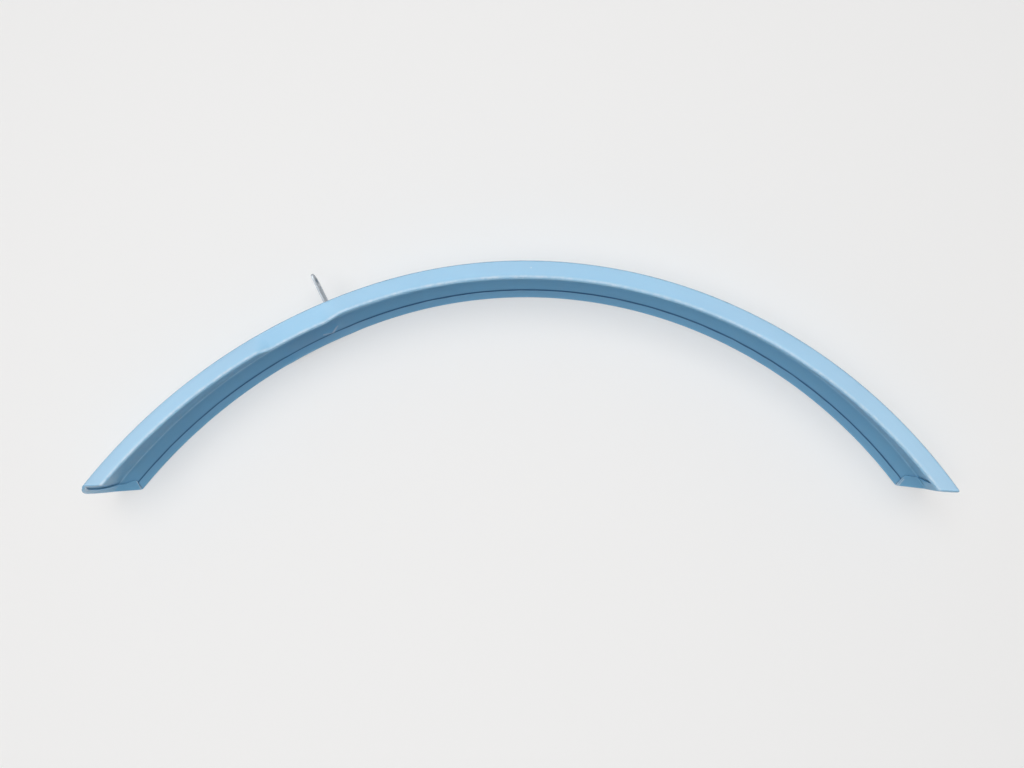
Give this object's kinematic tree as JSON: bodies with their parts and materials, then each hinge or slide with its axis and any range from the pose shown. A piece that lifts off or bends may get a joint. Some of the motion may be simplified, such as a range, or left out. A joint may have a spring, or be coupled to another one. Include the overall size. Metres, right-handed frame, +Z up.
{
  "type": "bicycle mudguard",
  "caption": "Arched steel front mudguard for a bicycle, with hemmed rims and ends, a waist that clears the fork blades and a riveted tab for the fork-crown bolt.",
  "frame": {"origin": "middle of the overall floor plan, on the floor that the guard's lower rim lies on", "axes": "+Z up, along the wheel's axis; +Y from the wheel outwards through the middle of the arch; +X along the chord towards the rear end"},
  "size_m": [0.6058, 0.1661, 0.0594],
  "materials": {
    "blade_paint": "light blue gloss paint with small chips and handling marks",
    "bracket_zinc": "dull zinc plating",
    "rivet_steel": "plain steel"
  },
  "bodies": {
    "root": {"mudguard_blade": "blade_paint", "fork_bracket": "bracket_zinc", "bracket_rivets": "rivet_steel"}
  },
  "joints": []
}
